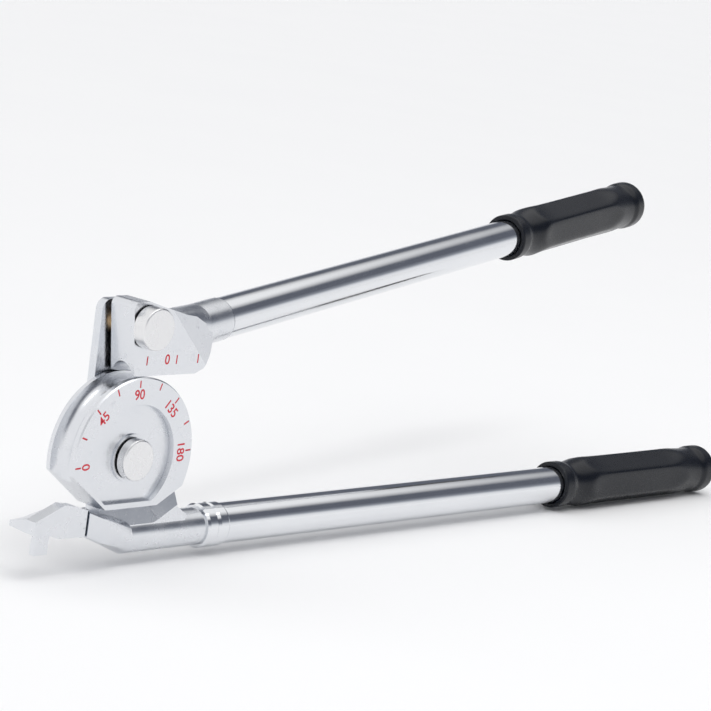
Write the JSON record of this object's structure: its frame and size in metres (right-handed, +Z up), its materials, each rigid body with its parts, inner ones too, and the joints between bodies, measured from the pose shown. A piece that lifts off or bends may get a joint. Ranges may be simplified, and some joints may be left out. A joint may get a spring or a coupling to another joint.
{
  "type": "manual tube bender",
  "caption": "Lever-type tube bender for 12 mm tube: graduated bending wheel, forming shoe on a link, hinged tube latch and two gripped handles.",
  "frame": {"origin": "on the bending wheel's pivot axis, at the middle of the tube groove", "axes": "+X along the lower handle toward its grip, -Y out of the graduated front face, +Z up, from the lower handle toward the forming shoe"},
  "size_m": [0.553, 0.1024, 0.1721],
  "materials": {
    "bright_casting": "bright satin plating over a fine cast surface",
    "zinc_plate": "bright zinc plate, faint grain",
    "satin_pin": "turned, satin faces",
    "spring_steel": "dark phosphated",
    "bronze": "plain turned bronze",
    "chrome_tube": "polished chrome",
    "plug_plastic": "moulded",
    "grip_vinyl": "dipped vinyl, soft gloss"
  },
  "bodies": {
    "wheel_frame": {"bending_wheel": "bright_casting", "wheel_pivot_pin": "satin_pin", "wheel_pin_washer": "zinc_plate", "wheel_pin_ring": "spring_steel", "hub_shim": "bronze", "lower_collar": "chrome_tube", "lower_handle_tube": "chrome_tube", "lower_tube_plug": "plug_plastic", "lower_grip": "grip_vinyl", "latch_pin": "satin_pin"},
    "link": {"link_plate": "zinc_plate", "hub_bush": "bronze", "shoe_pivot_pin": "satin_pin", "shoe_pin_washer": "zinc_plate", "shoe_pin_ring": "spring_steel", "shoe_thrust_washer": "bronze"},
    "forming_arm": {"forming_shoe": "bright_casting", "shoe_bush": "bronze", "upper_handle_tube": "chrome_tube", "upper_tube_plug": "plug_plastic", "upper_grip": "grip_vinyl"},
    "latch": {"tube_latch": "bright_casting"}
  },
  "joints": [
    {"name": "link_pivot", "type": "hinge", "parent": "wheel_frame", "child": "link", "pos_m": [0, 0, 0], "axis": [0, -1, 0], "range_deg": [-38, 95]},
    {"name": "shoe_pivot", "type": "hinge", "parent": "link", "child": "forming_arm", "pos_m": [-0.00118, 0, 0.06139], "axis": [0, -1, 0], "range_deg": [0, 95]},
    {"name": "latch_hinge", "type": "hinge", "parent": "wheel_frame", "child": "latch", "pos_m": [-0.031, -0.012, -0.0265], "axis": [0, 0, 1], "range_deg": [0, 90]}
  ]
}
